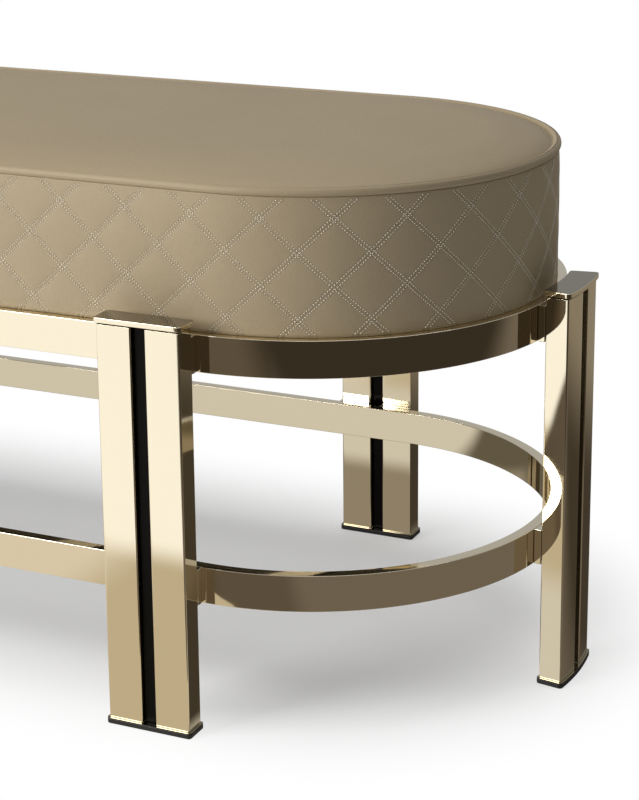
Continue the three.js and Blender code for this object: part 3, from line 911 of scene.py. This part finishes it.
inward_steps = np.concatenate([CLOSE_ROWS, MIDDLE_ROWS, WIDE_ROWS]) * MM
rows += [on_plan(columns, SEAM_OFFSET - d, crown_height(columns, d)) for d in inward_steps]
grid = np.array(rows)
piping_rise = PIPING_Z + PIPING_RADIUS - panel_low.z
print("cushion grid", grid.shape, "piping above the panel's edge", round(piping_rise / MM, 2), "mm")

# %% Cushion mesh
cushion_mesh = bpy.data.meshes.new("seat_cushion")
cushion_mesh.from_pydata(grid.reshape(-1, 3).tolist(), [], rows_to_faces(*grid.shape[:2], False))
cushion = link_object("seat_cushion", cushion_mesh)
cushion.data.materials.append(LEATHER)
cushion.data.materials.append(STITCHED_LEATHER)
quilt_map = cushion.data.uv_layers.new(name="quilt")
for face in cushion.data.polygons:
    face.use_smooth = True
    if len(face.vertices) != 4:
        continue
    lowest, first = divmod(face.vertices[0], COLUMNS)
    if first_band_row <= lowest < last_band_row:
        face.material_index = 1
        for corner, vertex in zip(face.loop_indices, face.vertices):
            step = vertex % COLUMNS
            step += COLUMNS if step < first else 0
            along = QUILT_PHASE + step * AROUND / COLUMNS
            quilt_map.data[corner].uv = quilt_place(along, cushion.data.vertices[vertex].co.z)
declare(cushion, "leather", "seat_foam", "seat_top_panel", "seat_side_band")
print("cushion", len(cushion.data.polygons), "faces")

# %% Piping
CORD_ROUNDING = 0.98
piping_path = on_plan(path_lengths, PIPING_OFFSET, PIPING_Z)
piping = run_tree("seat_piping_welt", loop_mesh("piping", piping_path), section_tree, Width=2 * PIPING_RADIUS,
                  Height=2 * PIPING_RADIUS, Corner=CORD_ROUNDING * PIPING_RADIUS, Corner_Steps=4,
                  Material=LEATHER)
facing_out(piping)
declare(piping, "leather", "seat_piping")
print("piping", len(piping.data.polygons), "faces")

# %% [markdown]
# ## Stitches
# About ten thousand stitches follow the double rows. Placing them one by one is out of the question, and a
# bump map would vanish at the seat's edge, so a second tree sets one short thread on each point of the rows.
# The rows are lines laid on the leather; the tree spaces points along them and turns a thread to follow.

# %% Stitch tree
stitch_tree, rows_in, rows_out = path_tree(
    "stitches_on_rows", [("Pitch", 3 * MM), ("Stitch Length", 2.2 * MM), ("Thread", 0.8 * MM)])
row_curves = add_node(stitch_tree, "GeometryNodeMeshToCurve", links={"Mesh": rows_in["Geometry"]})
spaced = add_node(stitch_tree, "GeometryNodeResampleCurve",
                  links={"Curve": row_curves.outputs[0], "Length": rows_in["Pitch"]}, mode="LENGTH")
tangent = stitch_tree.nodes.new("GeometryNodeInputTangent")
along_row = add_node(stitch_tree, "FunctionNodeAlignEulerToVector",
                     links={"Vector": tangent.outputs[0]}, axis="Z")
thread = add_node(stitch_tree, "GeometryNodeMeshUVSphere", {"Segments": 6, "Rings": 3, "Radius": 0.5})
thick = add_node(stitch_tree, "ShaderNodeCombineXYZ",
                 links={0: rows_in["Thread"], 1: rows_in["Thread"], 2: rows_in["Stitch Length"]})
sewn = add_node(stitch_tree, "GeometryNodeInstanceOnPoints",
                links={"Points": spaced.outputs[0], "Instance": thread.outputs[0],
                       "Rotation": along_row.outputs[0], "Scale": thick.outputs[0]})
sewn_plain = add_node(stitch_tree, "GeometryNodeRealizeInstances", links={0: sewn.outputs[0]})
sewn_smooth = add_node(stitch_tree, "GeometryNodeSetShadeSmooth", links={0: sewn_plain.outputs[0]})
sewn_painted = add_node(stitch_tree, "GeometryNodeSetMaterial",
                        links={"Geometry": sewn_smooth.outputs[0], "Material": rows_in["Material"]})
stitch_tree.links.new(sewn_painted.outputs[0], rows_out.inputs[0])
print(stitch_tree.name, len(stitch_tree.nodes), "nodes")

# %% Stitch rows
ROW_POINTS = 40
ROW_BOTTOM, ROW_TOP = 2.5 * MM, 2.0 * MM
THREAD_LIFT = 0.12 * MM
STITCH_PITCH, STITCH_LENGTH, THREAD_WIDTH = 2.4 * MM, 1.7 * MM, 0.9 * MM
stitch_heights = np.linspace(SEAT_BOTTOM + ROW_BOTTOM, BAND_TOP - ROW_TOP, ROW_POINTS)
row_shift = ROW_GAP * QUILT_PITCH / ACROSS_ROWS
crossings = (BAND_TOP - QUILT_TOP - stitch_heights) / QUILT_STEP
for label, lean in (("rising", LEAN), ("falling", -LEAN)):
    points, edges = [], []
    for diamond in range(DIAMONDS_AROUND):
        for side in (-1, 1):
            along = QUILT_PHASE + (diamond + lean * crossings) * QUILT_PITCH + side * row_shift
            row = on_plan(along, band_offset(along, stitch_heights) + THREAD_LIFT, stitch_heights)
            start = len(points)
            points += row.tolist()
            edges += [(start + k, start + k + 1) for k in range(ROW_POINTS - 1)]
    lines = bpy.data.meshes.new(f"{label}_rows")
    lines.from_pydata(points, edges, [])
    stitches = run_tree(f"seat_stitches_{label}", lines, stitch_tree, Pitch=STITCH_PITCH,
                        Stitch_Length=STITCH_LENGTH, Thread=THREAD_WIDTH, Material=THREAD)
    declare(stitches, "leather")
    print(stitches.name, len(stitches.data.polygons), "faces")

# %% [markdown]
# ## Under the seat
# Three steel rails cross the upper ring and six screws hold the seat board to them. The rails and the board
# are plain bars and a plain board, so the CAD solids stay and only get their finishes.

# %% Rails, screws and board
for node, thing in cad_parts.items():
    if node.startswith(("seat_rail", "seat_screw", "seat_board")):
        finish = PLYWOOD if node == "seat_board" else PLAIN_STEEL
        thing.data.materials.clear()
        thing.data.materials.append(finish)
        print(node, finish.name)

# %% [markdown]
# ## Studio
# The photograph shows the bench on white with a soft grey shadow. More light would bleach the leather before
# the floor turned white, so the floor is pale, keeps the shadow, and glows for camera rays, more so away from
# the bench. A mirror shows the room it stands in. Here the split in that room is painted: for mirror rays alone
# the floor glows with a painted reflection, white in front and to the left, where the softbox stands, and
# painted shade to the right and under the seat, as dark cards laid beside the bench would give, with a soft
# edge where the light ends.

# %% Floor
REACH, DROP = 9.0, -0.2 * MM
floor_corners = [(x * REACH, y * REACH, DROP) for x, y in ((-1, -1), (1, -1), (1, 1), (-1, 1))]
floor_mesh = bpy.data.meshes.new("studio_floor")
floor_mesh.from_pydata(floor_corners, [], [(0, 1, 2, 3)])
floor = link_object("studio_floor", floor_mesh)
floor_material = bpy.data.materials.new("studio_floor")
floor_material.use_nodes = True
floor_tree = floor_material.node_tree
floor_tree.nodes.remove(floor_tree.nodes["Principled BSDF"])
matte = add_node(floor_tree, "ShaderNodeBsdfDiffuse", {"Color": (0.92, 0.92, 0.92, 1)})
white = add_node(floor_tree, "ShaderNodeEmission", {"Color": (1, 1, 1, 1), "Strength": 1.0})
floor_path = floor_tree.nodes.new("ShaderNodeLightPath")
ground = add_node(floor_tree, "ShaderNodeSeparateXYZ", links={0: object_vector(floor_tree)})
ground_x, ground_y = ground.outputs[0], ground.outputs[1]


def floor_math(operation, *terms):
    return math_node(floor_tree, operation, *terms)


def floor_step(value, low, high, to_low=0.0, to_high=1.0):
    return ramp(floor_tree, value, low, high, to_low, to_high, "SMOOTHSTEP")


def zones(value, low, high, first, second):
    """One colour where the value is below low and another above high, with a soft edge between."""
    return tint_mix(floor_tree, floor_step(value, low, high), first, second)


def past_line(slope, start):
    """How far to the right of a slanting line on the floor a point lies."""
    return floor_math("SUBTRACT", ground_x, floor_math("ADD", floor_math("MULTIPLY", ground_y, slope), start))


print("floor", 2 * REACH, "m wide")

# %% [markdown]
# The lit part of that painted reflection is built up from the bench outwards: the floor under the seat, the
# strip in front of it, and the floor behind, with painted shade under and beside the seat. Each line below
# splits what is there so far along one direction, and its two numbers are where the soft edge starts and
# ends, in metres.

# %% Painted reflection for the mirror faces: the lit side
# Painted light and shade for the mirror faces: LIT is painted light in front, the shades and the colours under
# the seat are painted shade.
LIT, BEHIND = (1.08, 1.08, 1.08), (0.85, 0.83, 0.80)
NEAR_SHADE, SHADE = (0.76, 0.70, 0.62), (0.57, 0.50, 0.38)
UNDER_FRONT_SHADE, UNDER_BACK_SHADE, DEEP_SHADE = (0.68, 0.66, 0.62), (0.30, 0.265, 0.215), (0.13, 0.115, 0.085)
under_back = zones(ground_x, 0.16, 0.21, DEEP_SHADE, UNDER_BACK_SHADE)
under_seat = zones(ground_y, 0.0, 0.06, UNDER_FRONT_SHADE, under_back)
near_bench = zones(ground_x, 0.08, 0.16, NEAR_SHADE, SHADE)
front = zones(ground_y, -0.60, -0.53, LIT, near_bench)
left_part = zones(ground_y, -0.26, -0.18, front, under_seat)
back_shade = zones(ground_y, 0.20, 0.27, left_part, DEEP_SHADE)
lit_part = zones(ground_y, 0.40, 0.55, back_shade, BEHIND)
print("lit side of the map", len(floor_tree.nodes), "nodes so far")

# %% Painted reflection: where the light ends and painted shade begins
# These colours are painted shade where the light ends, to the right of the bench and behind it; the back glow
# is its paler far part.
NEAR_PAINTED_SHADE, MID_PAINTED_SHADE, FAR_PAINTED_SHADE = (0.115, 0.092, 0.070), (0.165, 0.140, 0.115), (0.040, 0.032, 0.024)
BACK_PAINTED_SHADE, BACK_PAINTED_GLOW = (0.055, 0.044, 0.032), (0.26, 0.225, 0.175)
front_edge = past_line(slope=0.53, start=0.49)
side_edge = past_line(slope=0.76, start=0.66)
which_edge = floor_step(ground_y, -0.465, -0.445)
past_edge = add_node(floor_tree, "ShaderNodeMix", links={
    "Factor": which_edge, FIRST_NUMBER: front_edge, SECOND_NUMBER: side_edge}).outputs[0]
clear_of_leg = floor_math("MAXIMUM", floor_step(ground_x, 0.53, 0.49), floor_step(ground_x, 0.588, 0.598))
beside_leg = floor_math("MULTIPLY", floor_step(ground_y, -0.10, -0.06), clear_of_leg)
round_end = floor_math("MAXIMUM", beside_leg, floor_step(side_edge, -0.09, -0.12))
end_shade = floor_math("MULTIPLY", floor_step(ground_x, 0.355, 0.375), round_end)
painted_shade_share = floor_math("MAXIMUM", floor_step(past_edge, 0.0, 0.012), end_shade)
right_painted_shade = zones(ground_x, 0.47, 0.54, NEAR_PAINTED_SHADE, MID_PAINTED_SHADE)
far_back = zones(ground_y, 0.45, 0.95, BACK_PAINTED_SHADE, BACK_PAINTED_GLOW)
back_painted_shade = zones(side_edge, -0.12, 0.0, far_back, right_painted_shade)
painted_shade_part = zones(past_edge, 0.35, 0.75, back_painted_shade, FAR_PAINTED_SHADE)
# The floor glows with this painted reflection for mirror rays alone.
painted_reflection_tint = tint_mix(floor_tree, painted_shade_share, lit_part, painted_shade_part)
painted_reflection = add_node(floor_tree, "ShaderNodeEmission", {"Strength": 1.0}, {"Color": painted_reflection_tint})
print("whole map", len(floor_tree.nodes), "nodes so far")

# %% Floor material
GLOW_FROM, GLOW_TO, LEAST_GLOW = 0.13, 0.34, 0.28
SHADOW_BACK = 0.04
past_straight = floor_math("MAXIMUM", floor_math("SUBTRACT", floor_math("ABSOLUTE", ground_x), HALF_SPAN), 0.0)
to_side = floor_math("ABSOLUTE", floor_math("SUBTRACT", ground_y, SHADOW_BACK))
square_sum = floor_math("ADD", floor_math("POWER", past_straight, 2.0), floor_math("POWER", to_side, 2.0))
glow = floor_step(floor_math("SQRT", square_sum), GLOW_FROM, GLOW_TO, LEAST_GLOW, 1.0)
camera_glow = floor_math("MULTIPLY", glow, floor_path.outputs["Is Camera Ray"])
for_camera = add_node(floor_tree, "ShaderNodeMixShader",
                      links={0: camera_glow, 1: matte.outputs[0], 2: white.outputs[0]})
# Mirror rays see the painted reflection; camera rays see the pale floor that keeps its real shadow.
for_mirrors = add_node(floor_tree, "ShaderNodeMixShader", links={
    0: floor_path.outputs["Is Glossy Ray"], 1: for_camera.outputs[0], 2: painted_reflection.outputs[0]})
floor_tree.links.new(for_mirrors.outputs[0], floor_tree.nodes["Material Output"].inputs["Surface"])
floor_mesh.materials.append(floor_material)
print(floor_material.name, len(floor_tree.nodes), "nodes")

# %% [markdown]
# Two softboxes light the bench: a strong one in front to the left, which gives the front faces their shine
# and lays the shadow to the right, and a weak one above that evens out the seat. The world fills the rest. It
# is white to the camera, grey in the metal and dim on matte surfaces, so that the shadows stay.

# %% World and lights
FILL_ON_MATTE, FILL_IN_METAL = 0.17, 0.44
world = bpy.data.worlds.new("studio")
bpy.context.scene.world = world
world.use_nodes = True
world_tree = world.node_tree
backdrop = world_tree.nodes["Background"]
backdrop.inputs["Color"].default_value = (1, 1, 1, 1)
world_path = world_tree.nodes.new("ShaderNodeLightPath").outputs
fill = ramp(world_tree, world_path["Is Glossy Ray"], 0.0, 1.0, FILL_ON_MATTE, FILL_IN_METAL)
strength = math_node(world_tree, "MAXIMUM", fill, world_path["Is Camera Ray"])
world_tree.links.new(strength, backdrop.inputs["Strength"])


def soft_light(name, place, target, size, power):
    lamp = bpy.data.lights.new(name, "AREA")
    lamp.shape = "SQUARE"
    lamp.size = size
    lamp.energy = power
    thing = bpy.data.objects.new(name, lamp)
    aim = (Vector(target) - Vector(place)).to_track_quat("-Z", "Y").to_matrix().to_4x4()
    thing.matrix_world = Matrix.Translation(Vector(place)) @ aim
    bpy.context.scene.collection.objects.link(thing)
    print(name, power, "W")


AIM = (0, 0, 0.3)
soft_light("key_softbox", place=(-1.6, -2.2, 1.5), target=AIM, size=1.8, power=100)
soft_light("top_softbox", place=(0.2, 0.4, 2.8), target=AIM, size=2.2, power=25)
bpy.context.scene.view_settings.view_transform = "Standard"
